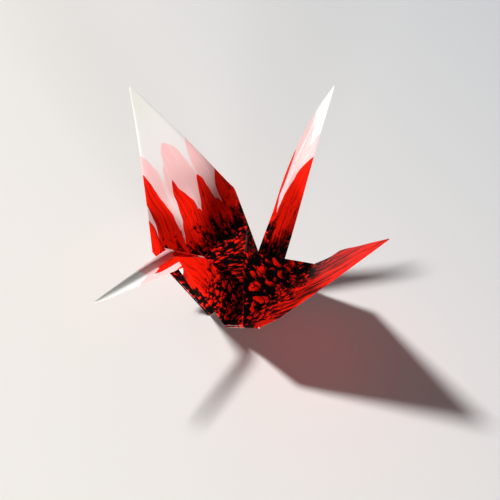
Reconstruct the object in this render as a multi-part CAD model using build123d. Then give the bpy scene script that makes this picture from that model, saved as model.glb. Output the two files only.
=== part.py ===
from build123d import *
from math import atan2, copysign, cos, degrees, hypot, radians, sin, sqrt, tan
import os

# Origami crane folded from one square sheet, opened by drawing its wings apart.
# X runs along the body with the tail at +X and the head at -X, Y runs across it, and Z is up.
# The origin is on the surface that the crane stands on, under the middle of the body.

# The sheet
SHEET_SIDE = 150.0
PAPER = 0.1
SLIT = 0.3

# Angles that the folds of the bird base give to its flaps
WING_HALF_ANGLE = 22.5
LEG_HALF_ANGLE = 11.25

# How far the body has been opened
KEEL_HALF_GAP = 6.2
HUMP_RISE = 19.4
RIDGE_START_SHARE = 0.05

# How far the neck and the tail lean out from upright, and how far the neck is turned aside
NECK_LEAN_ANGLE = 29.1
NECK_TURN_ANGLE = -13.9
TAIL_LEAN_ANGLE = 36.0

# How far the two sides of the tail open towards its tip, and how far its ridge bows
TAIL_OPEN_ANGLE = 52.0
TAIL_BOW = 3.6

# Where along the neck the head is folded down, how far it leans out and is turned aside, and how far it opens
HEAD_FOLD_REACH = 28.5
HEAD_LEAN_ANGLE = 67.9
HEAD_TURN_ANGLE = 14.4
HEAD_OPEN_ANGLE = 20.0

# Where the sides of the tail and the head are bent as they open
LEAF_SHARES = (0.4, 0.75)

# The far side of the body, and the bends of its wing: where they start above the keel, their slant,
# the bend at the first of them and the bend of all the others together
FAR_SPREAD_ANGLE = 39.9
FAR_WING_BEND_HEIGHT = 23.1
FAR_WING_SLANT_ANGLE = 12.4
FAR_WING_ROOT_ANGLE = -13.5
FAR_WING_CURL_ANGLE = 8.0

# The near side, in the same way
NEAR_SPREAD_ANGLE = 42.5
NEAR_WING_BEND_HEIGHT = 26.6
NEAR_WING_SLANT_ANGLE = -18.6
NEAR_WING_ROOT_ANGLE = -8.8
NEAR_WING_CURL_ANGLE = -0.3
WING_BENDS = 5

# The layers that lie on each other, counted out from the sheet that backs the wing
HUMP_LAYERS = 2
FLAP_LAYERS = 2
SPIKE_LAYERS = 4
GUSSET_LAYERS = 2

TINY = PAPER / 1000

# The flat folded form, in the plane of one side, with the keel corner at (0, 0)
wing_slope = tan(radians(WING_HALF_ANGLE))
leg_slope = tan(radians(LEG_HALF_ANGLE))
wing_rise = SHEET_SIDE / 2
leg_reach = SHEET_SIDE / 2
centre_height = SHEET_SIDE * sqrt(0.5) - SHEET_SIDE / 2
shoulder_height = (wing_rise * wing_slope - leg_reach * leg_slope) / (wing_slope + leg_slope)
shoulder_x = (wing_rise - shoulder_height) * wing_slope
hip_height = (centre_height - leg_reach * leg_slope) / (1 + leg_slope)
hip_x = centre_height - hip_height
flap_corner_height = hypot(leg_reach, centre_height) - leg_reach


def foot(lean):
    """Where the reverse fold of a leg that leans out by this angle leaves the side's edge."""
    fall = tan(radians(lean) / 2)
    x = leg_reach * leg_slope / (1 + leg_slope * fall)
    return x, -x * fall


tail_foot_x, tail_foot_height = foot(TAIL_LEAN_ANGLE)
neck_foot_x, neck_foot_height = foot(NECK_LEAN_ANGLE)
mean_spread = radians(FAR_SPREAD_ANGLE + NEAR_SPREAD_ANGLE) / 2


def polygon(points):
    return Face(Wire.make_polygon(points, close=True))


def closed(faces):
    return Solid(Shell(faces))


def panel(points, layers):
    """A flat panel of layers pressed together, half its thickness to each side of the points."""
    normal = (points[1] - points[0]).cross(points[2] - points[0]).normalized()
    half = normal * (layers * PAPER / 2)
    return Solid.extrude(polygon([point - half for point in points]), half * 2)


class Side:
    """One side of the body with its wing: a flat panel that goes on into a wing bent along parallel lines."""

    def __init__(self, sign, spread_angle, bend_height, slant_angle, root_angle, curl_angle):
        spread, slant = radians(spread_angle), radians(slant_angle)
        self.sign = sign
        self.base = Vector(0, self.sign * KEEL_HALF_GAP, 0)
        self.rise = Vector(0, self.sign * sin(spread), cos(spread))
        self.outward = Vector(0, self.sign * cos(spread), -sin(spread))
        self.slant = slant
        along = Vector(cos(slant), 0, 0) + self.rise * sin(slant)
        across = Vector(-sin(slant), 0, 0) + self.rise * cos(slant)
        self.along = along
        reach = wing_rise * cos(slant)
        step = (reach - bend_height) / WING_BENDS
        self.bends = [bend_height + step * number for number in range(WING_BENDS)]
        self.strips = [(self.base, across, self.outward)]
        turns = [root_angle] + [curl_angle / (WING_BENDS - 1)] * (WING_BENDS - 1)
        for bend, turn in zip(self.bends, turns):
            start, across, normal = self.strips[-1]
            angle = radians(turn)
            turned = across * cos(angle) + normal * sin(angle)
            self.strips.append((start + (across - turned) * bend, turned, normal * cos(angle) - across * sin(angle)))

    def at(self, x, height):
        """A point of the flat panel."""
        return self.base + Vector(x, 0, 0) + self.rise * height

    def cut(self, outline):
        """The outline in pieces, one for each strip between bends, as (along, across) pairs."""
        turned = [
            (x * cos(self.slant) + height * sin(self.slant), height * cos(self.slant) - x * sin(self.slant))
            for x, height in outline
        ]
        pieces = []
        for bend in self.bends:
            pieces.append(part_of(turned, bend, 1))
            turned = part_of(turned, bend, -1)
        return pieces + [turned]

    def lay(self, outline, inner, outer):
        """A layer with this outline, bent with the wing, between two distances out from the panel."""
        faces = []
        for number, piece in enumerate(self.cut(outline)):
            if len(piece) < 3:
                continue
            low = [self.lift(point, number, inner) for point in piece]
            high = [self.lift(point, number, outer) for point in piece]
            faces += [polygon(low), polygon(high)]
            for corner, point in enumerate(piece):
                after = (corner + 1) % len(piece)
                if self.on_bend(point, piece[after]):
                    continue
                faces.append(polygon([low[corner], low[after], high[after]]))
                faces.append(polygon([low[corner], high[after], high[corner]]))
        return closed(faces)

    def on_bend(self, point, other):
        return any(abs(point[1] - bend) < TINY and abs(other[1] - bend) < TINY for bend in self.bends)

    def lift(self, point, number, distance):
        start, across, normal = self.strips[number]
        place = start + self.along * point[0] + across * point[1]
        for near, bend in ((number - 1, number - 1), (number + 1, number)):
            if 0 <= bend < len(self.bends) and abs(point[1] - self.bends[bend]) < TINY:
                other = self.strips[near][2]
                return place + (normal + other) * (distance / (1 + normal.dot(other)))
        return place + normal * distance


def part_of(outline, bend, keep):
    """The part of an outline below a bend line, for keep 1, or above it, for keep -1."""
    kept = []
    for corner, point in enumerate(outline):
        after = outline[(corner + 1) % len(outline)]
        here, there = keep * (point[1] - bend), keep * (after[1] - bend)
        if here <= 0:
            kept.append(point)
        if here * there < 0:
            share = here / (here - there)
            kept.append((point[0] + (after[0] - point[0]) * share, bend))
    return kept


def half_outlines(way, foot_x, foot_height):
    """The wing layer and the narrowing flap on one half of a side, which meet their mirror at a slit."""
    gap = SLIT / 2
    keel = (way * gap, foot_height * gap / foot_x)
    ends = [keel, (way * foot_x, foot_height), (way * shoulder_x, shoulder_height)]
    flap_slope = (shoulder_height - flap_corner_height) / shoulder_x
    wing_layer = ends + [(way * gap, wing_rise - gap / wing_slope)]
    flap = ends + [(way * gap, flap_corner_height + gap * flap_slope)]
    return wing_layer, flap


def side_layers(side):
    """The layers of one side: the sheet that backs the wing, the two halves on it and the two flaps."""
    whole = [
        (-neck_foot_x, neck_foot_height),
        (0, 0),
        (tail_foot_x, tail_foot_height),
        (shoulder_x, shoulder_height),
        (0, wing_rise),
        (-shoulder_x, shoulder_height),
    ]
    layers = [side.lay(whole, -PAPER, 0)]
    for way, foot_x, foot_height in ((1, tail_foot_x, tail_foot_height), (-1, neck_foot_x, neck_foot_height)):
        wing_layer, flap = half_outlines(way, foot_x, foot_height)
        layers.append(side.lay(wing_layer, 0, PAPER))
        layers.append(side.lay(flap, PAPER, PAPER * (1 + FLAP_LAYERS)))
    return layers


def hump(sides):
    """The middle of the sheet: a low roof between the wings, with a gusset at each end of the body."""
    apex = Vector(0, 0, HUMP_RISE)
    inset = PAPER * (1 + HUMP_LAYERS / 2)
    panels = []
    for side in sides:
        inside = side.outward * -inset
        hips = [side.at(way * hip_x, hip_height) + inside for way in (-1, 1)]
        keel = [side.at(way * leg_reach * leg_slope, 0) + inside for way in (-1, 1)]
        panels.append(panel([keel[0], keel[1], hips[1], hips[0]], HUMP_LAYERS))
        panels.append(panel([hips[0], hips[1], apex], HUMP_LAYERS))
        for way, foot_x, foot_height in ((-1, neck_foot_x, neck_foot_height), (1, tail_foot_x, tail_foot_height)):
            hip = hips[(way + 1) // 2]
            start = ridge_start(way, foot_x, foot_height)
            foot_point = side.at(way * foot_x, foot_height) + inside
            panels.append(panel([apex, hip, start], GUSSET_LAYERS))
            panels.append(panel([hip, foot_point, start], GUSSET_LAYERS))
    return panels


def ridge_start(way, foot_x, foot_height):
    """Where the closed ridge of the neck or tail starts, on the middle of the body."""
    drop = foot_height * cos(mean_spread)
    return Vector(way * foot_x * RIDGE_START_SHARE, 0, drop * RIDGE_START_SHARE)


def leaning(way, lean_angle, turn_angle):
    """A direction in the body's length that leans out from upright and is then turned aside."""
    lean = radians(lean_angle)
    return Vector(way * sin(lean), 0, cos(lean)).rotate(Axis.Z, turn_angle)


def leaf(start, heel, tip, sign, open_angle, bow=0):
    """One side of the tail or the head, from its ridge to its free edge, which opens out towards the tip."""
    along = (tip - start).normalized()
    turn = sign * copysign(open_angle, along.cross(heel - start).Y)
    lift = along.cross(Vector(0, bow, 0))
    point = tip + Vector(0, sign * SPIKE_LAYERS * PAPER / 2, 0)
    ridge, edge = start, heel
    panels = []
    for share in LEAF_SHARES:
        next_ridge = start + (tip - start) * share + lift * (4 * share * (1 - share))
        across = (heel - start) * (1 - share)
        next_edge = next_ridge + across.rotate(Axis((0, 0, 0), along), turn * share)
        panels.append(panel([ridge, edge, next_edge], SPIKE_LAYERS))
        panels.append(panel([ridge, next_edge, next_ridge], SPIKE_LAYERS))
        ridge, edge = next_ridge, next_edge
    panels.append(panel([ridge, edge, point], SPIKE_LAYERS))
    return panels


def tail(sides):
    """The tail: a closed ridge from the body to the tip, with a narrow side to each side of it."""
    start = ridge_start(1, tail_foot_x, tail_foot_height)
    tip = leaning(1, TAIL_LEAN_ANGLE, 0) * leg_reach
    panels = []
    for side in sides:
        keel, heel = side.at(0, 0), side.at(tail_foot_x, tail_foot_height)
        panels.append(panel([keel, heel, start], SPIKE_LAYERS))
        panels += leaf(start, heel, tip, side.sign, TAIL_OPEN_ANGLE, TAIL_BOW)
    return panels


def neck_and_head(sides):
    """The neck, and the head turned down inside it by a reverse fold of the tip."""
    place = leaning(-1, NECK_LEAN_ANGLE, NECK_TURN_ANGLE) * HEAD_FOLD_REACH
    tip = leaning(-1, NECK_LEAN_ANGLE, NECK_TURN_ANGLE) * leg_reach
    crease_way = leaning(-1, (NECK_LEAN_ANGLE + HEAD_LEAN_ANGLE) / 2, NECK_TURN_ANGLE)
    aside = Vector(0, 1, 0).rotate(Axis.Z, NECK_TURN_ANGLE)
    crease_normal = crease_way.cross(aside)

    def cut(below, above):
        """Where the crease crosses the line between two points."""
        depth, height = (below - place).dot(crease_normal), (above - place).dot(crease_normal)
        return below + (above - below) * (depth / (depth - height))

    turned = tip - crease_normal * (2 * (tip - place).dot(crease_normal))
    turned = place + (turned - place).rotate(Axis.Z, HEAD_TURN_ANGLE)
    half = SPIKE_LAYERS * PAPER / 2
    start = ridge_start(-1, neck_foot_x, neck_foot_height)
    panels = []
    for side in sides:
        keel, heel = side.at(0, 0), side.at(-neck_foot_x, neck_foot_height)
        point = tip + Vector(0, side.sign * half, 0)
        inner, outer = cut(start, point), cut(heel, point)
        panels.append(panel([keel, heel, start], SPIKE_LAYERS))
        panels.append(panel([start, heel, outer, inner], SPIKE_LAYERS))
        panels += leaf(cut(start, tip), outer, turned, side.sign, HEAD_OPEN_ANGLE)
    return panels


def folded_crane():
    far_side = Side(
        1,
        FAR_SPREAD_ANGLE,
        FAR_WING_BEND_HEIGHT,
        FAR_WING_SLANT_ANGLE,
        FAR_WING_ROOT_ANGLE,
        FAR_WING_CURL_ANGLE,
    )
    near_side = Side(
        -1,
        NEAR_SPREAD_ANGLE,
        NEAR_WING_BEND_HEIGHT,
        NEAR_WING_SLANT_ANGLE,
        NEAR_WING_ROOT_ANGLE,
        NEAR_WING_CURL_ANGLE,
    )
    sides = [far_side, near_side]
    pieces = side_layers(far_side) + side_layers(near_side)
    pieces += hump(sides)
    pieces += tail(sides)
    pieces += neck_and_head(sides)
    return pieces


def stood(crane):
    """The crane turned until the corners under its neck and tail are level, and set on the ground."""
    fall = (neck_foot_height - tail_foot_height) * cos(mean_spread)
    level = crane.rotate(Axis.Y, -degrees(atan2(fall, neck_foot_x + tail_foot_x)))
    return level.moved(Location((0, 0, -level.bounding_box().min.Z)))


if __name__ == "__main__":
    pieces = folded_crane()
    crane = pieces[0].fuse(*pieces[1:])
    crane = stood(crane)
    crane.label = "folded_crane"
    os.makedirs("parts", exist_ok=True)
    export_step(crane, "parts/folded_crane.step")
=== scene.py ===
import math

import bmesh
import bpy
import numpy as np
from mathutils import Matrix, Vector


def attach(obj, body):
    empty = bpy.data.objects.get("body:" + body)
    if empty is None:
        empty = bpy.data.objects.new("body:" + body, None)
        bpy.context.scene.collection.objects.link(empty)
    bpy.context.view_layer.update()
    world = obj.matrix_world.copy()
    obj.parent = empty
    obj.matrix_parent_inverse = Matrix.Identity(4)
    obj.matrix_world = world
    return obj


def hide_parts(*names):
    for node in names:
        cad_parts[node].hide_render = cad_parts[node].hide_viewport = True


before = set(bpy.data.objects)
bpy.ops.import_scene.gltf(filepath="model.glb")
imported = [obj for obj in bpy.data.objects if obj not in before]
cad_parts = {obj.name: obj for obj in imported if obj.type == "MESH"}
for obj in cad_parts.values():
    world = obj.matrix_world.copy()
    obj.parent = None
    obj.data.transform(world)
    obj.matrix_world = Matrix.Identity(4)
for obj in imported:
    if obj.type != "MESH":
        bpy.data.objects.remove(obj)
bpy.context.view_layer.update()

# The sheet and its folds, in millimetres and degrees, as the part's source has them
MM = 0.001
SHEET = 150.0
PAPER = 0.1
WING_ANGLE, LEG_ANGLE = math.radians(22.5), math.radians(11.25)
WING_SLOPE, LEG_SLOPE = math.tan(WING_ANGLE), math.tan(LEG_ANGLE)
RISE = SHEET / 2
CENTRE = SHEET * math.sqrt(0.5) - SHEET / 2
SHOULDER_H = (RISE * WING_SLOPE - RISE * LEG_SLOPE) / (WING_SLOPE + LEG_SLOPE)
SHOULDER_X = (RISE - SHOULDER_H) * WING_SLOPE
HIP_H = (CENTRE - RISE * LEG_SLOPE) / (1 + LEG_SLOPE)
HIP_X = CENTRE - HIP_H
FLAP_H = math.hypot(RISE, CENTRE) - RISE
KEEL_GAP = 6.2
HUMP_RISE = 19.4
RIDGE_SHARE = 0.05
NECK_LEAN, NECK_TURN = 29.1, -13.9
TAIL_LEAN, TAIL_OPEN, TAIL_BOW = 36.0, 52.0, 3.6
HEAD_REACH, HEAD_LEAN, HEAD_TURN, HEAD_OPEN = 28.5, 67.9, 14.4, 20.0
FAR = dict(sign=1, spread=39.9, first=23.1, slant=12.4, root=-13.5, curl=8.0)
NEAR = dict(sign=-1, spread=42.5, first=26.6, slant=-18.6, root=-8.8, curl=-0.3)
BENDS = 5
MEAN_SPREAD = math.radians(FAR["spread"] + NEAR["spread"]) / 2

# How far out of the panel each layer lies, from the back of the wing to the corner over the flap
BACK, HALF, FLAP_IN, FLAP_OUT, CORNER_OUT = -0.08, 0.08, 0.24, 0.40, 0.56
LINING = BACK - 0.16

# How far the raw edges stay from the slit's middle, how far loose layers stand open, and how far panels swell
SLIT, SLIT_LIFT = 0.15, 0.28
FLAP_OPEN = 0.30
CORNER_INSET, CORNER_OPEN, CORNER_SWELL = 0.1, 0.30, 0.12
HUMP_SAG = 0.55
ROOF_SWELL, HEEL_SWELL, KEEL_SWELL = 0.25, 0.15, 0.1

# Where the small triangle under each ridge has its ends on the panel of the leg, beside the foot
KEEL_PLACE, RIDGE_PLACE = (0.5, 0), (3, -3)

# How far inwards of its ridge each of the four layers of a leaf lies, in the order in which the paper runs
# through them. The head's are turned inside out. Near the ridge and the tip the layers run together.
PACKET = 0.5
HEEL_INSET = PACKET + 0.2
OUT_TO_IN = (-PACKET, -0.02, -0.18, -0.34)
TURNED_IN = (0.0, -0.48, -0.32, -0.16)
RIDGE_ROUND, RIDGE_ROUND_SHARE = 0.45, 0.2
TIP_THICKNESS_SHARE, FULL_THICKNESS_WIDTH = 0.12, 1.6

# Rows and columns of the skin
COLUMNS = 7
LOW_ROWS, HIGH_ROWS = 12, 44
CORNER_ROWS = 8
LINING_ROWS, HUMP_ROWS, HUMP_COLUMNS = 4, 14, 16
KEEL_ROWS = 6
TAIL_ROWS, NECK_ROWS = 44, 30

# The view: its turn and tilt, the camera's place in metres, and the focal length as a share of the picture
TURN, TILT = 48.35, 45.21
CAMERA = (0.001575, -0.17848, 0.20324)
FOCAL_SHARE = 780.2 / 500
SENSOR = 36


def foot(lean):
    """The corner under a leg that leans by so many degrees, on the panel of the side."""
    fall = math.tan(math.radians(lean) / 2)
    x = RISE * LEG_SLOPE / (1 + LEG_SLOPE * fall)
    return x, -x * fall


TAIL_X, TAIL_H = foot(TAIL_LEAN)
NECK_X, NECK_H = foot(NECK_LEAN)
# The tail's end and the neck's: the way along X, and the corner that the crane stands on there
ENDS = ((1, TAIL_X, TAIL_H), (-1, NECK_X, NECK_H))


def unit(v):
    return v / np.linalg.norm(v)


def flat_cross(a, b):
    return a[0] * b[1] - a[1] * b[0]


def turn_z(v, degrees):
    a = math.radians(degrees)
    return np.array([v[0] * math.cos(a) - v[1] * math.sin(a), v[0] * math.sin(a) + v[1] * math.cos(a), v[2]])


def turn_about(along, v, degrees):
    a = math.radians(degrees)
    return v * math.cos(a) + np.cross(along, v) * math.sin(a) + along * ((along @ v) * (1 - math.cos(a)))


def leaning(way, lean, turned):
    a = math.radians(lean)
    return turn_z(np.array([way * math.sin(a), 0, math.cos(a)]), turned)


def mirror(x, h, point, way):
    """(x, h) reflected in the line through a point of the panel along a direction."""
    dx, dy = way
    k = (x - point[0]) * dx + (h - point[1]) * dy
    return 2 * (point[0] + k * dx) - x, 2 * (point[1] + k * dy) - h


WING_LINE = ((0, RISE), (math.sin(WING_ANGLE), -math.cos(WING_ANGLE)))
NARROW_LINE = ((0, -RISE), (math.sin(LEG_ANGLE), math.cos(LEG_ANGLE)))
LEG_LINE = ((0, -RISE), (math.sin(WING_ANGLE), math.cos(WING_ANGLE)))


# Where a point of each folded layer was on the flat sheet, X along the bird and Y across it
def on_wing(x, h, s, way):
    return way * x, s * (CENTRE + h)


def on_half(x, h, s, way):
    return on_wing(*mirror(x, h, *WING_LINE), s, way)


def on_leg(x, h, s, way):
    return way * (CENTRE - h), s * x


def on_leg_half(x, h, s, way):
    return on_leg(*mirror(x, h, *LEG_LINE), s, way)


def on_hump(x, h, s, way):
    return way * x, s * (CENTRE - h)


def narrowed(place):
    return lambda x, h, s, way: place(*mirror(x, h, *NARROW_LINE), s, way)


class Side:
    """One side of the body with its wing, bent smoothly along slanted lines."""

    LOWEST, HIGHEST, SAMPLES = -60, 90, 3001
    ROOT_SOFT = 2.2

    def __init__(self, sign, spread, first, slant, root, curl):
        b, a = math.radians(spread), math.radians(slant)
        self.s, self.slant = sign, a
        self.base = np.array([0, sign * KEEL_GAP, 0])
        self.rise = np.array([0, sign * math.sin(b), math.cos(b)])
        self.out = np.array([0, sign * math.cos(b), -math.sin(b)])
        x_axis = np.array([1.0, 0, 0])
        self.along = x_axis * math.cos(a) + self.rise * math.sin(a)
        self.across = -x_axis * math.sin(a) + self.rise * math.cos(a)
        step = (RISE * math.cos(a) - first) / BENDS
        knots, bends = [first - self.ROOT_SOFT, first + self.ROOT_SOFT], [0, root]
        for number in range(BENDS):
            knots.append(first + step * (number + 0.5))
            bends.append(root + curl * number / (BENDS - 1))
        self.v = np.linspace(self.LOWEST, self.HIGHEST, self.SAMPLES)
        self.bend = np.radians(np.interp(self.v, knots, bends))
        gap = self.v[1] - self.v[0]
        zero = np.argmin(abs(self.v))
        self.cx = np.cumsum(np.cos(self.bend)) * gap
        self.sx = np.cumsum(np.sin(self.bend)) * gap
        self.cx -= self.cx[zero] - self.v[zero]
        self.sx -= self.sx[zero]

    def at(self, x, h, d=0.0):
        """The point at (x, h) of the panel, a distance d out from it, or an array of such points."""
        x, h, d = np.broadcast_arrays(np.asarray(x, float), np.asarray(h, float), np.asarray(d, float))
        v = h * math.cos(self.slant) - x * math.sin(self.slant)
        u = x * math.cos(self.slant) + h * math.sin(self.slant)
        a = np.interp(v, self.v, self.bend)
        c, s = np.interp(v, self.v, self.cx), np.interp(v, self.v, self.sx)
        d = d + slack(x, h, self.s)
        out = np.cos(a)[..., None] * self.out - np.sin(a)[..., None] * self.across
        flat = self.base + u[..., None] * self.along
        return flat + c[..., None] * self.across + s[..., None] * self.out + d[..., None] * out


def slack(x, h, s):
    """How far the paper stands off flat: broad slack and a finer ripple, both faded out towards the keel."""
    full_height = 20
    broad, broad_x, broad_h = 0.14, 7.5, 12.5
    fine, fine_x, fine_h = 0.08, 4.1, 8.3
    broad_part = broad * np.sin(x / broad_x + 1.1 * s) * np.sin(h / broad_h + 0.7)
    fine_part = fine * np.sin(x / fine_x - h / fine_h + 2 * s)
    return np.clip(h / full_height, 0, 1) * (broad_part + fine_part)


class Mesh:
    """Collects grids of points, each with where it was on the sheet."""

    def __init__(self):
        self.points, self.sheet, self.faces = [], [], []

    def grid(self, points, places, flip=False):
        """Rows of points make a skin of quads. The printed side is where the normals point."""
        start, rows, columns = len(self.points), len(points), len(points[0])
        for row, place in zip(points, places):
            self.points.extend(np.asarray(row, float))
            self.sheet.extend(np.asarray(place, float))
        for r in range(rows - 1):
            for c in range(columns - 1):
                a = start + r * columns + c
                quad = (a, a + 1, a + columns + 1, a + columns)
                self.faces.append(quad[::-1] if flip else quad)

    def triangle(self, corners, places, rows, toward, swell):
        """A triangle in rows that start at its first corner, swelled and printed on the side `toward`."""
        p = [np.asarray(corner, float) for corner in (corners[0], *corners)]
        q = [np.asarray(place, float) for place in (places[0], *places)]
        facing = unit(np.cross(p[2] - p[0], p[3] - p[0]))
        if facing @ np.asarray(toward, float) < 0:
            facing = -facing
        lift = facing * swell
        points, sheet = [], []
        for i in range(rows + 1):
            u = i / rows
            row, where = [], []
            for j in range(rows + 1):
                v = j / rows
                height = 16 * u * (1 - u) * v * (1 - v)
                row.append(between(p, u, v) + lift * height)
                where.append(between(q, u, v))
            points.append(row)
            sheet.append(where)
        middle = rows // 2
        first = points[middle][0]
        as_made = np.cross(points[middle][1] - first, points[middle + 1][0] - first)
        self.grid(points, sheet, flip=as_made @ facing < 0)


def between(corners, u, v):
    """The point of a four-cornered panel a share u across from its first side and v along it."""
    a, b, c, d = corners
    return (1 - u) * ((1 - v) * a + v * b) + u * ((1 - v) * d + v * c)


def arc(d_from, d_to, steps=3):
    """Offsets out and along for a fold that turns from one layer's distance to another's."""
    middle, radius = (d_from + d_to) / 2, (d_to - d_from) / 2
    turns = [math.pi * (k + 1) / (steps + 1) for k in range(steps)]
    return [(middle - radius * math.cos(t), abs(radius) * math.sin(t)) for t in turns]


def slit_lift(h):
    """How far the raw edges of the two halves stand up along the slit under the wing."""
    return SLIT_LIFT * math.sin(math.pi * min(max(h / RISE, 0), 1)) ** 0.7


# The sides and the wings
def half_row(side, way, inner, outer, away, flap_share=None):
    """One row across half of a side, from the slit round the folded edge to the middle of the back layer.

    Below the shoulder the row goes through the narrow flap too, which is folded at flap_share of the row.
    """
    points, places = [], []
    shares = np.linspace(0, 1, COLUMNS)
    lift = slit_lift(inner[1])

    def add(t, d, place, extra=0.0):
        x, h = inner + (outer - inner) * t + away * extra
        points.append(side.at(way * x, h, d))
        places.append(place(x, h, side.s, way))

    for t in shares:
        x = max(inner[0] + (outer[0] - inner[0]) * t, SLIT)
        h = inner[1] + (outer[1] - inner[1]) * t
        points.append(side.at(way * x, h, HALF + lift * (1 - t) ** 2))
        places.append(on_half(x, h, side.s, way))
    if flap_share is None:
        for d, extra in arc(HALF, BACK):
            add(1, d, on_wing, extra)
    else:
        opened = FLAP_OPEN * min(1, (1 - flap_share) * 2)
        for d, extra in arc(HALF, FLAP_IN):
            add(1, d, on_half, extra)
        for t in shares[::-1]:
            k = flap_share + (1 - flap_share) * t
            add(k, FLAP_IN + lift * (1 - k) ** 2 + opened * (1 - t) ** 2, narrowed(on_half))
        for d, extra in arc(FLAP_IN, FLAP_OUT):
            add(flap_share, d + lift * (1 - flap_share) ** 2 + opened, narrowed(on_wing), -extra)
        for t in shares:
            k = flap_share + (1 - flap_share) * t
            add(k, FLAP_OUT + lift * (1 - k) ** 2 + opened * (1 - t) ** 2, narrowed(on_wing))
        for d, extra in arc(FLAP_OUT, BACK, 5):
            add(1, d, on_wing, extra)
    for t in shares[::-1]:
        add(t, BACK, on_wing)
    return points, places


def low_half(side, way, foot_x, foot_h, share):
    """Half of a row at a share of the way from the keel to the shoulder."""
    low_end, shoulder = np.array([foot_x, foot_h]), np.array([SHOULDER_X, SHOULDER_H])
    flap_top = np.array([0, FLAP_H])
    inner = np.array([0, SHOULDER_H * share])
    outer = low_end * (1 - share) + shoulder * share
    flap_share = 0.0
    if share == 1:
        flap_share = 1.0
    elif inner[1] > FLAP_H:
        flap_edge = shoulder - flap_top
        flap_share = float(flat_cross(flap_top - inner, flap_edge) / flat_cross(outer - inner, flap_edge))
    edge = unit(shoulder - low_end)
    return half_row(side, way, inner, outer, np.array([edge[1], -edge[0]]), flap_share)


def high_half(side, way, share):
    """Half of a row at a share of the way from the shoulder to the wing's tip, which keeps a little width."""
    tip_share = 0.9985
    h = SHOULDER_H + (RISE - SHOULDER_H) * share * tip_share
    outer = np.array([(RISE - h) * WING_SLOPE, h])
    away = np.array([math.cos(WING_ANGLE), math.sin(WING_ANGLE)])
    return half_row(side, way, np.array([0, h]), outer, away)


def whole_row(tail_half, neck_half):
    """Two halves as one row, from the slit round the back and to the slit again."""
    return tail_half[0] + neck_half[0][::-1], tail_half[1] + neck_half[1][::-1]


def add_side(mesh, side):
    """One side and its wing: halves, flaps and back layer, one strip of paper round every fold."""
    low, high = [], []
    for i in range(LOW_ROWS + 1):
        low.append(whole_row(*(low_half(side, *end, i / LOW_ROWS) for end in ENDS)))
    for i in range(HIGH_ROWS + 1):
        high.append(whole_row(*(high_half(side, way, i / HIGH_ROWS) for way in (1, -1))))
    for rows in (low, high):
        points, places = zip(*rows)
        mesh.grid(points, places, flip=side.s > 0)


def add_corner(mesh, side, way, foot_x, foot_h):
    """The doubled corner over a flap, which is the gusset folded back with it."""
    bottom, low_end = np.array([CORNER_INSET, 0.0]), np.array([foot_x, foot_h])
    top, high_end = np.array([CORNER_INSET, FLAP_H]), np.array([HIP_X, HIP_H])
    points, places = [], []
    for i in range(CORNER_ROWS + 1):
        u = i / CORNER_ROWS
        start, end = bottom * (1 - u) + top * u, low_end * (1 - u) + high_end * u
        row, where = [], []
        for j in range(CORNER_ROWS + 1):
            v = j / CORNER_ROWS
            x, h = start * (1 - v) + end * v
            lift = slit_lift(start[1]) * (1 - v) ** 2 + CORNER_OPEN * (1 - v) ** 2
            row.append(side.at(way * x, h, CORNER_OUT + lift + CORNER_SWELL * u * v * (1 - v) * 4))
            where.append(narrowed(on_leg)(x, h, side.s, way))
        points.append(row)
        places.append(where)
    mesh.grid(points, places, flip=side.s * way > 0)


# The hump and its gussets
APEX = np.array([0, 0, HUMP_RISE])


def ridge_start(way, foot_x, foot_h):
    """The low end of the ridge of the tail or the neck."""
    return np.array([way * foot_x * RIDGE_SHARE, 0, foot_h * math.cos(MEAN_SPREAD) * RIDGE_SHARE])


def add_hump(mesh, side):
    """The lining of one side up to the hips, and half of the hump's roof from there to the apex."""
    points, places = [], []
    for i in range(LINING_ROWS + 1):
        h = HIP_H * i / LINING_ROWS
        half = HIP_X + (RISE * LEG_SLOPE - HIP_X) * (1 - i / LINING_ROWS)
        xs = np.linspace(-half, half, HUMP_COLUMNS + 1)
        points.append(list(side.at(xs, h, LINING)))
        places.append([on_hump(x, h, side.s, 1) for x in xs])
    xs = np.linspace(-HIP_X, HIP_X, HUMP_COLUMNS + 1)
    hips = side.at(xs, HIP_H, LINING)
    for i in range(1, HUMP_ROWS + 1):
        u = i / HUMP_ROWS
        sag = HUMP_SAG * math.sin(math.pi * u) ** 1.2
        row = []
        for j, hip in enumerate(hips):
            across = 1 - abs(2 * j / HUMP_COLUMNS - 1)
            row.append(hip * (1 - u) + APEX * u - np.array([0, 0, sag * across]))
        points.append(row)
        h = HIP_H + (CENTRE - HIP_H) * u
        places.append([on_hump(x, h, side.s, 1) for x in xs * (1 - u)])
    mesh.grid(points, places, flip=side.s > 0)


def add_gussets(mesh, side, way, foot_x, foot_h):
    """The triangles between the hump, one side and the ridge of the tail or the neck."""
    s = side.s
    hip = side.at(way * HIP_X, HIP_H, LINING)
    heel = side.at(way * foot_x, foot_h, LINING)
    keel = side.at(0.0, 0.0, LINING)
    ridge = ridge_start(way, foot_x, foot_h)
    hip_place, heel_place = on_leg(HIP_X, HIP_H, s, way), on_leg(foot_x, foot_h, s, way)
    ridge_place = (way * CENTRE, 0)
    outwards, downwards = (way, 0, 0.3), (0, -s, -0.4)
    mesh.triangle([APEX, hip, ridge], [(0, 0), hip_place, ridge_place], HUMP_ROWS, outwards, ROOF_SWELL)
    mesh.triangle([hip, heel, ridge], [hip_place, heel_place, ridge_place], HUMP_ROWS, outwards, HEEL_SWELL)
    under_places = [on_leg_half(x, h, s, way) for x, h in (KEEL_PLACE, (foot_x, foot_h), RIDGE_PLACE)]
    mesh.triangle([keel, heel, ridge], under_places, KEEL_ROWS, downwards, KEEL_SWELL)


# The tail, the neck and the head
LEG_TIP = np.array([0, -RISE])


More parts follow.
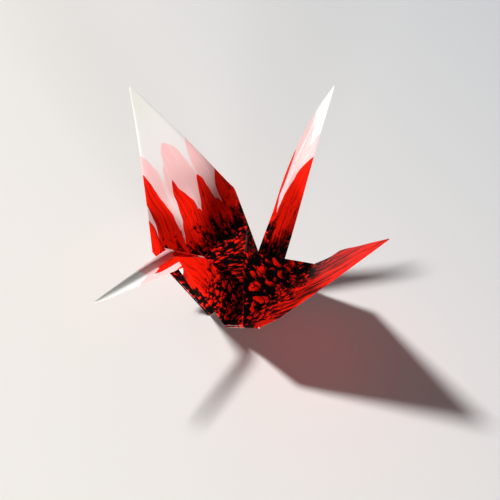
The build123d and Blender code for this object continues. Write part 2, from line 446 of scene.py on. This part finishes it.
def leaf_path(start, heel, tip, sign, opened, bow=0.0):
    """The ridge and the free edge of one side of the tail or the head, which opens out towards the tip."""
    along = unit(tip - start)
    turned = sign * math.copysign(opened, np.cross(along, heel - start)[1])
    lift = np.cross(along, [0, bow, 0])

    def path(r):
        ridge = start + (tip - start) * r + lift * (4 * r * (1 - r))
        return ridge, ridge + turn_about(along, (heel - start) * (1 - r), turned * r)

    return path


def straight_path(start, heel, crest, throat):
    return lambda r: (start + (crest - start) * r, heel + (throat - heel) * r)


def spike_rows(side, way, foot_flat, path, shares, depths, rows):
    """Rows of one side of the neck, tail or head: from the ridge round the free edge and back, four layers.

    The shares say how far up the leg the ridge starts and ends, and then the free edge.
    """
    points, places = [], []
    outer, second, third, fourth = depths
    across = np.linspace(0, 1, COLUMNS)
    tangent_reach = 0.02
    lateral = None
    for i in range(rows + 1):
        r = i / rows
        ridge, edge = path(r)
        after = path(min(r + tangent_reach, 1.0))[0] - path(max(r - tangent_reach, 0.0))[0]
        wide = edge - ridge
        width = max(np.linalg.norm(wide), 1e-6)
        if width > 1e-3:
            lateral = wide / width
        inward = unit(np.cross(after, lateral))
        if inward[1] * side.s > 0:
            inward = -inward
        ridge_share = shares[0] + (shares[1] - shares[0]) * r
        edge_share = shares[2] + (shares[3] - shares[2]) * r
        flat_ridge = LEG_TIP * ridge_share
        flat_edge = foot_flat * (1 - edge_share) + LEG_TIP * edge_share
        thickness_share = min(1.0, TIP_THICKNESS_SHARE + width / FULL_THICKNESS_WIDTH)
        near_ridge = min(RIDGE_ROUND / width, RIDGE_ROUND_SHARE)
        row, where = [], []

        def add(e, depth, place, extra=0.0):
            row.append(ridge + wide * e + (inward * depth + lateral * extra) * thickness_share)
            x, h = flat_ridge + (flat_edge - flat_ridge) * e
            where.append(place(x, h, side.s, way))

        def add_layer(sweep, depth, place):
            for e in sweep:
                add(near_ridge + (1 - near_ridge) * e, depth, place)

        add(0, 0, on_leg)
        for e in (0.12, 0.45):
            add(e * near_ridge, outer * math.sin(e * math.pi / 2), on_leg)
        add_layer(across, outer, on_leg)
        for d, extra in arc(outer, second, 4):
            add(1, d, on_leg, extra)
        add_layer(across[::-1], second, narrowed(on_leg))
        for d, extra in arc(second, third, 2):
            add(near_ridge, d, narrowed(on_leg_half), -extra)
        add_layer(across, third, narrowed(on_leg_half))
        for d, extra in arc(third, fourth, 2):
            add(1, d, on_leg_half, extra)
        add_layer(across[::-1], fourth, on_leg_half)
        points.append(row)
        places.append(where)
    return points, places


def add_tail(mesh, side):
    start = ridge_start(1, TAIL_X, TAIL_H)
    heel = side.at(TAIL_X, TAIL_H, -HEEL_INSET)
    path = leaf_path(start, heel, leaning(1, TAIL_LEAN, 0) * RISE, side.s, TAIL_OPEN, TAIL_BOW)
    foot_flat = np.array([TAIL_X, TAIL_H])
    mesh.grid(*spike_rows(side, 1, foot_flat, path, (0, 1, 0, 1), OUT_TO_IN, TAIL_ROWS), flip=side.s > 0)


def add_neck(mesh, side):
    """One side of the neck and of the head, which is the tip of the neck turned inside out at a crease."""
    neck_way = leaning(-1, NECK_LEAN, NECK_TURN)
    fold_place, neck_tip = neck_way * HEAD_REACH, neck_way * RISE
    crease_way = leaning(-1, (NECK_LEAN + HEAD_LEAN) / 2, NECK_TURN)
    crease_normal = np.cross(crease_way, turn_z(np.array([0, 1.0, 0]), NECK_TURN))

    def cut(below, above):
        """Where the crease crosses the line between two points, and at what share of it."""
        depth, height = (below - fold_place) @ crease_normal, (above - fold_place) @ crease_normal
        share = depth / (depth - height)
        return below + (above - below) * share, share

    folded_tip = neck_tip - crease_normal * (2 * ((neck_tip - fold_place) @ crease_normal))
    head_tip = fold_place + turn_z(folded_tip - fold_place, HEAD_TURN)
    foot_flat = np.array([NECK_X, NECK_H])
    start = ridge_start(-1, NECK_X, NECK_H)
    heel = side.at(-NECK_X, NECK_H, -HEEL_INSET)
    crest, crest_share = cut(start, neck_tip)
    throat, throat_share = cut(heel, neck_tip + np.array([0, side.s * PACKET, 0]))
    path = straight_path(start, heel, crest, throat)
    shares = (0, crest_share, 0, throat_share)
    neck_points, neck_places = spike_rows(side, -1, foot_flat, path, shares, OUT_TO_IN, NECK_ROWS)
    inset = np.array([0, -side.s * min(PACKET, abs(throat[1] - crest[1]) * 0.8), 0])
    path = leaf_path(crest, throat + inset, head_tip, side.s, HEAD_OPEN)
    shares = (crest_share, 1, throat_share, 1)
    head_points, head_places = spike_rows(side, -1, foot_flat, path, shares, TURNED_IN, NECK_ROWS)
    mesh.grid(neck_points + head_points, neck_places + head_places, flip=side.s < 0)


# The whole sheet
def folded_mesh():
    mesh = Mesh()
    sides = [Side(**FAR), Side(**NEAR)]
    for side in sides:
        add_side(mesh, side)
    for side in sides:
        for end in ENDS:
            add_corner(mesh, side, *end)
    for side in sides:
        add_hump(mesh, side)
        for end in ENDS:
            add_gussets(mesh, side, *end)
    for side in sides:
        add_tail(mesh, side)
    for side in sides:
        add_neck(mesh, side)
    return mesh


def standing(points):
    """The points as the crane stands, on the corners under its neck and tail."""
    fall = (NECK_H - TAIL_H) * math.cos(MEAN_SPREAD)
    level = Matrix.Rotation(-math.atan2(fall, NECK_X + TAIL_X), 4, "Y")
    points = np.array(points) @ np.array(level.to_3x3()).T
    points[:, 2] -= points[:, 2].min() - PAPER / 2
    return points


def folded_sheet():
    """The sheet as an object, with the flat sheet's own coordinates as its UV map."""
    weld, speck = 0.004, 0.002
    mesh = folded_mesh()
    data = bpy.data.meshes.new("folded_sheet")
    data.from_pydata([tuple(p * MM) for p in standing(mesh.points)], [], mesh.faces)
    uv = data.uv_layers.new(name="sheet")
    diagonal = math.sqrt(2)
    for loop in data.loops:
        x, y = mesh.sheet[loop.vertex_index]
        uv.data[loop.index].uv = ((x + y) / diagonal / SHEET + 0.5, (y - x) / diagonal / SHEET + 0.5)
    work = bmesh.new()
    work.from_mesh(data)
    bmesh.ops.remove_doubles(work, verts=work.verts, dist=weld * MM)
    bmesh.ops.dissolve_degenerate(work, edges=work.edges, dist=speck * MM)
    work.to_mesh(data)
    work.free()
    sheet = bpy.data.objects.new("folded_sheet", data)
    bpy.context.scene.collection.objects.link(sheet)
    thick = sheet.modifiers.new("paper", "SOLIDIFY")
    thick.thickness = PAPER * MM
    thick.offset = 0
    thick.material_offset = 1
    thick.material_offset_rim = 1
    return sheet


# Materials are built from small helpers that join one node to the next
class Nodes:
    def __init__(self, name):
        self.material = bpy.data.materials.new(name)
        self.material.use_nodes = True
        self.tree = self.material.node_tree
        self.shader = self.tree.nodes["Principled BSDF"]

    def add(self, kind, **values):
        node = self.tree.nodes.new(kind)
        for key, value in values.items():
            setattr(node, key, value)
        return node

    def join(self, source, socket):
        if hasattr(source, "is_output"):
            self.tree.links.new(source, socket)
        else:
            socket.default_value = source

    def filled(self, node, *inputs):
        for number, value in enumerate(inputs):
            self.join(value, node.inputs[number])
        return node.outputs[0]

    def math(self, operation, *inputs, clamp=False):
        return self.filled(self.add("ShaderNodeMath", operation=operation, use_clamp=clamp), *inputs)

    def plus(self, a, b):
        return self.math("ADD", a, b)

    def minus(self, a, b):
        return self.math("SUBTRACT", a, b)

    def times(self, a, b):
        return self.math("MULTIPLY", a, b)

    def over(self, a, b, clamp=False):
        return self.math("DIVIDE", a, b, clamp=clamp)

    def absolute(self, value):
        return self.math("ABSOLUTE", value)

    def swing(self, value, width):
        """A value from 0 to 1 as one from minus half the width to plus half of it."""
        return self.times(self.minus(value, 0.5), width)

    def step(self, value, low, high):
        """0 at low and 1 at high, smooth between them and level beyond them. low may be the larger one."""
        node = self.add("ShaderNodeMapRange", interpolation_type="SMOOTHSTEP")
        self.join(value, node.inputs["Value"])
        self.join(low, node.inputs["From Min"])
        self.join(high, node.inputs["From Max"])
        return node.outputs[0]

    def mix(self, factor, first, second):
        """The first colour where factor is 0 and the second where it is 1."""
        node = self.add("ShaderNodeMix", data_type="RGBA")
        self.join(factor, node.inputs[0])
        self.join(first, node.inputs[6])
        self.join(second, node.inputs[7])
        return node.outputs[2]

    def pick(self, choice, first, second):
        """The first number where choice is 0 and the second where it is 1."""
        node = self.add("ShaderNodeMix", data_type="FLOAT")
        self.join(choice, node.inputs[0])
        self.join(first, node.inputs[2])
        self.join(second, node.inputs[3])
        return node.outputs[0]

    def vector(self, *inputs):
        return self.filled(self.add("ShaderNodeCombineXYZ"), *inputs)

    def shifted(self, vector, by):
        return self.filled(self.add("ShaderNodeVectorMath", operation="ADD"), vector, by)

    def parts(self, vector):
        node = self.add("ShaderNodeSeparateXYZ")
        self.join(vector, node.inputs[0])
        return node.outputs

    def random(self, value):
        node = self.add("ShaderNodeTexWhiteNoise", noise_dimensions="1D")
        self.join(value, node.inputs["W"])
        return node.outputs["Value"]

    def noise(self, vector, scale, detail=2.0, rough=0.5):
        node = self.add("ShaderNodeTexNoise")
        self.join(vector, node.inputs["Vector"])
        node.inputs["Scale"].default_value = scale
        node.inputs["Detail"].default_value = detail
        node.inputs["Roughness"].default_value = rough
        return node.outputs["Fac"]

    def finish(self, colour, roughness, specular):
        self.join(colour, self.shader.inputs["Base Color"])
        self.join(roughness, self.shader.inputs["Roughness"])
        self.join(specular, self.shader.inputs["Specular IOR Level"])
        return self.material


def paper_grain(n, strength):
    """Fine and coarse fibres as bump, in the object's own space."""
    where = n.add("ShaderNodeTexCoord").outputs["Object"]
    fine, coarse = n.noise(where, 2600, 3.0, 0.6), n.noise(where, 420, 2.0, 0.5)
    bump = n.add("ShaderNodeBump")
    bump.inputs["Strength"].default_value = strength
    bump.inputs["Distance"].default_value = 0.04 * MM
    n.join(n.plus(n.times(fine, 0.6), n.times(coarse, 0.5)), bump.inputs["Height"])
    n.join(bump.outputs[0], n.shader.inputs["Normal"])
    return fine, coarse


def back_paper():
    n = Nodes("white_back")
    coarse = paper_grain(n, 0.5)[1]
    tone = n.mix(n.step(coarse, 0.3, 0.7), (0.80, 0.79, 0.77, 1), (0.86, 0.855, 0.84, 1))
    return n.finish(tone, 0.75, 0.5)


RED = (0.93, 0.010, 0.001, 1)
DEEP = (0.16, 0.002, 0.002, 1)
DARK_RED = (0.50, 0.004, 0.001, 1)
BLACK = (0.002, 0.001, 0.001, 1)
FLECK_ROOT = (0.06, 0.001, 0.001, 1)
PINK = (0.93, 0.56, 0.55, 1)
PALE = (0.93, 0.78, 0.77, 1)
WHITE = (0.83, 0.82, 0.80, 1)
CORNER = (0.78, 0.79, 0.72, 1)
FIBRE = (0.9, 0.86, 0.84, 1)


class Print:
    """A design laid out on the flat sheet, in millimetres: x along the bird and y across it, from its middle.

    Its leaves point to the sheet's four corners, from a middle that lies to one side of the sheet's own.
    In each of the four quarters, p is how far out a point lies, and q how far sideways.
    """

    SWAY, SWAY_FINE = 5.0, 0.07
    OFF_MIDDLE = 22.0
    SIDEWAYS_SHARE = 1.17
    DARK_HALF, DARK_OFF_MIDDLE, DARK_RAGGED = 55.0, 2.0, 0.9
    CURL, CURL_FINE = 4.5, 0.30
    WHITE_FROM, CORNER_FROM = (80, 84), (112, 126)

    def __init__(self, n):
        self.n = n
        u, v, _ = n.parts(n.add("ShaderNodeUVMap", uv_map="sheet").outputs[0])
        half = SHEET / math.sqrt(2)
        x, y = n.times(n.minus(u, v), half), n.times(n.minus(n.plus(u, v), 1.0), half)
        self.x = n.plus(x, n.swing(n.noise(n.vector(x, y, 3.0), self.SWAY_FINE), self.SWAY))
        self.y = n.plus(y, n.swing(n.noise(n.vector(x, y, 9.0), self.SWAY_FINE), self.SWAY))
        beyond = n.plus(self.y, self.OFF_MIDDLE)
        reach_x, reach_y = n.times(n.absolute(self.x), self.SIDEWAYS_SHARE), n.absolute(beyond)
        sideways = n.math("GREATER_THAN", reach_x, reach_y)
        self.p = n.math("MAXIMUM", reach_x, reach_y)
        self.q = n.pick(sideways, self.x, beyond)
        ahead = n.math("GREATER_THAN", n.pick(sideways, beyond, self.x), 0.0)
        # 0 is the quarter of the lower wing, 1 the higher wing, 2 the neck and 3 the tail
        self.quarter = n.plus(n.times(sideways, 2.0), ahead)
        self.lower_wing = n.math("LESS_THAN", self.quarter, 0.5)
        along = n.over(n.absolute(self.x), self.DARK_HALF)
        across = n.over(n.absolute(n.plus(self.y, self.DARK_OFF_MIDDLE)), self.DARK_HALF)
        from_middle = n.math("MAXIMUM", along, across)
        self.ragged = n.plus(from_middle, n.swing(self.streaks(0.55, 7.0, 0.10), self.DARK_RAGGED))

    def streaks(self, fine, seed, long=0.05):
        """Long fine streaks that run outwards with the leaves."""
        n = self.n
        where = n.vector(n.times(self.q, fine), n.times(self.p, long), n.plus(self.quarter, seed))
        return n.noise(where, 1.0, 3.0, 0.6)

    def ground(self):
        """Pink that turns white and then greenish white outwards."""
        n = self.n
        pale = n.mix(n.step(self.p, *self.CORNER_FROM), WHITE, CORNER)
        return n.mix(n.step(self.p, *self.WHITE_FROM), PINK, pale)

    def leaves(self, under, seed, light, dark, apart, reach, uneven, root, wide, rooted=0.25):
        """A row of pointed leaves over a colour, from p = root out to p = reach or up to `uneven` further.

        wide is half a leaf's width as a share of the distance between two leaves. They brighten towards the
        tip from the share `rooted` of their length.
        """
        n = self.n
        turned = n.plus(n.over(self.q, apart), seed * 0.37)
        key = n.plus(n.plus(n.math("FLOOR", turned), n.times(self.quarter, 41.0)), seed * 31.7)
        chance, other = n.random(key), n.random(n.plus(key, 0.37))
        local = n.plus(n.minus(n.math("FRACT", turned), 0.5), n.swing(other, 0.24))
        tip = n.plus(n.times(chance, uneven), reach)
        t = n.over(n.minus(self.p, root), n.minus(tip, root), clamp=True)
        body = n.math("POWER", n.minus(1.0, n.math("POWER", t, 3.2)), 0.75)
        width = n.times(body, wide)
        side = n.absolute(local)
        inside = n.times(n.step(n.minus(width, side), 0.0, 0.02), n.math("LESS_THAN", self.p, tip))
        rim = n.over(side, n.math("MAXIMUM", width, 0.02))
        shade = n.plus(self.streaks(4.2 / apart, seed * 2.3), n.swing(chance, 0.16))
        shade = n.minus(shade, n.times(n.step(rim, 0.72, 1.0), 0.20))
        shade = n.minus(shade, n.times(n.step(rim, 0.10, 0.0), 0.08))
        shade = n.plus(shade, n.times(n.step(t, rooted, rooted + 0.6), 0.24))
        tone = n.mix(n.step(shade, 0.34, 0.62), dark, light)
        veins = n.noise(n.vector(n.times(self.q, 1.5), n.times(self.p, 0.04), n.plus(key, 0.5)), 1.0, 2.0)
        tone = n.mix(n.times(n.step(veins, 0.50, 0.72), 0.7), tone, dark)
        return n.mix(inside, under, tone)

    def flecks(self, under, curl, wide, long, small, large, seed):
        """Small leaves, row after row, on the dark middle: dark at the root and bright at the tip."""
        n = self.n
        outwards = n.over(self.p, long)
        where = n.vector(n.over(n.plus(self.q, curl), wide), outwards, n.times(self.quarter, 7.7))
        cells = n.add("ShaderNodeTexVoronoi")
        n.join(n.shifted(where, (seed, seed, seed)), cells.inputs["Vector"])
        cells.inputs["Scale"].default_value = 1.0
        tint = n.add("ShaderNodeSeparateColor")
        n.join(cells.outputs["Color"], tint.inputs[0])
        from_root = n.minus(n.plus(outwards, seed), n.parts(cells.outputs["Position"])[1])
        size = n.plus(n.times(tint.outputs[0], large - small), small)
        fleck = n.step(n.minus(size, cells.outputs["Distance"]), 0.0, 0.07)
        fleck = n.times(fleck, n.math("GREATER_THAN", tint.outputs[1], 0.18))
        fleck = n.times(fleck, n.step(self.ragged, 1.12, 1.0))
        shine = n.plus(n.times(from_root, 1.5), n.times(tint.outputs[2], 0.9))
        return n.mix(fleck, under, n.mix(n.step(shine, -0.1, 0.9), FLECK_ROOT, RED))


def printed_paper():
    """Straight rows of plain pointed leaves round a dark flecked middle, and pale corners."""
    n = Nodes("printed_paper")
    art = Print(n)
    colour = art.ground()
    colour = art.leaves(colour, 1, PINK, PALE, apart=12.5, reach=103, uneven=14, root=60, wide=0.74)
    streaked_red = n.mix(n.step(art.streaks(0.35, 5.0, 0.03), 0.42, 0.56), DARK_RED, RED)
    colour = n.mix(art.lower_wing, colour, streaked_red)
    colour = art.leaves(colour, 2, RED, DEEP, apart=9.5, reach=86, uneven=18, root=40, wide=0.60)
    colour = art.leaves(colour, 3, RED, DEEP, apart=8.0, reach=73, uneven=11, root=36, wide=0.54, rooted=0.35)
    colour = art.leaves(colour, 4, RED, BLACK, apart=6.6, reach=62, uneven=9, root=34, wide=0.50, rooted=0.45)
    colour = n.mix(n.step(art.ragged, 1.06, 0.90), colour, BLACK)
    curl = n.swing(n.noise(n.vector(art.x, art.y, 5.0), art.CURL_FINE), art.CURL)
    colour = art.flecks(colour, curl, wide=1.9, long=3.8, small=0.26, large=0.56, seed=3.1)
    colour = art.flecks(colour, curl, wide=1.2, long=2.7, small=0.22, large=0.52, seed=8.4)
    fine, coarse = paper_grain(n, 0.35)
    colour = n.mix(n.times(n.step(fine, 0.55, 0.8), 0.012), colour, FIBRE)
    return n.finish(colour, n.plus(0.52, n.times(coarse, 0.14)), 0.04)


crane = folded_sheet()
crane.data.materials.append(printed_paper())
crane.data.materials.append(back_paper())
for polygon in crane.data.polygons:
    polygon.material_index = 0
    polygon.use_smooth = True
crane.data.set_sharp_from_angle(angle=math.radians(38))

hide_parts("folded_crane")
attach(crane, "root")


# The studio is set out in the photo's frame, in metres: X to its right and Y away from the camera
turned = Matrix.Rotation(math.radians(-TURN), 4, "Z")


def floor_material():
    """Warm white on the left and cooler and darker on the right: painted light falloff, with painted shade on
    the right.
    """
    n = Nodes("floor")
    x, y, _ = n.parts(n.add("ShaderNodeTexCoord").outputs["Object"])
    painted_falloff = n.plus(x, n.times(y, 0.35))
    # Painted light falloff: bright warm white on the left, where the lamps are, and painted shade in cooler
    # grey on the right.
    tone = n.mix(n.step(painted_falloff, -0.20, 0.30), (0.97, 0.935, 0.90, 1), (0.62, 0.645, 0.68, 1))
    return n.finish(tone, 0.9, 0.05)


def add_floor():
    reach = 3.0
    corners = [(-reach, -reach, 0), (reach, -reach, 0), (reach, reach, 0), (-reach, reach, 0)]
    data = bpy.data.meshes.new("floor")
    data.from_pydata(corners, [], [(0, 1, 2, 3)])
    data.materials.append(floor_material())
    floor = bpy.data.objects.new("floor", data)
    bpy.context.scene.collection.objects.link(floor)
    floor.matrix_world = turned


def add_sun(name, strength, width, way, colour):
    """A sun as many degrees wide as said, which stands in the direction `way`."""
    lamp = bpy.data.lights.new(name, "SUN")
    lamp.energy, lamp.angle, lamp.color = strength, math.radians(width), colour
    holder = bpy.data.objects.new(name, lamp)
    bpy.context.scene.collection.objects.link(holder)
    holder.rotation_mode = "QUATERNION"
    holder.rotation_quaternion = (turned.to_3x3() @ Vector(way)).to_track_quat("Z", "Y")


def add_world():
    """A weak soft light from all sides, and a pale backdrop that only the camera sees."""
    world = bpy.data.worlds.new("studio")
    world.use_nodes = True
    nodes, links = world.node_tree.nodes, world.node_tree.links
    soft_light, backdrop = nodes["Background"], nodes.new("ShaderNodeBackground")
    soft_light.inputs["Color"].default_value = (0.93, 0.96, 1.0, 1)
    soft_light.inputs["Strength"].default_value = 0.025
    backdrop.inputs["Color"].default_value = (0.60, 0.62, 0.65, 1)
    backdrop.inputs["Strength"].default_value = 1.0
    either = nodes.new("ShaderNodeMixShader")
    links.new(nodes.new("ShaderNodeLightPath").outputs["Is Camera Ray"], either.inputs[0])
    links.new(soft_light.outputs[0], either.inputs[1])
    links.new(backdrop.outputs[0], either.inputs[2])
    links.new(either.outputs[0], nodes["World Output"].inputs["Surface"])
    bpy.context.scene.world = world


def add_camera():
    lens = bpy.data.cameras.new("camera")
    lens.sensor_width = SENSOR
    lens.lens = SENSOR * FOCAL_SHARE
    lens.clip_start = 0.01
    camera = bpy.data.objects.new("camera", lens)
    bpy.context.scene.collection.objects.link(camera)
    tilted = Matrix.Rotation(math.radians(90 - TILT), 4, "X")
    camera.matrix_world = turned @ Matrix.Translation(CAMERA) @ tilted
    bpy.context.scene.camera = camera


add_floor()
add_sun("key", 3.1, 7.5, (-0.57, 0.25, 1.0), (1.0, 0.985, 0.965))
add_sun("front_left", 2.2, 11.0, (-0.15, -1.0, 0.055), (1.0, 0.99, 0.98))
add_sun("front_right", 2.3, 11.0, (0.45, -0.9, 0.055), (1.0, 0.99, 0.98))
add_sun("back", 0.03, 24.0, (0.35, 0.9, 1.0), (0.95, 0.97, 1.0))
add_world()
add_camera()
bpy.context.scene.view_settings.view_transform = "Standard"
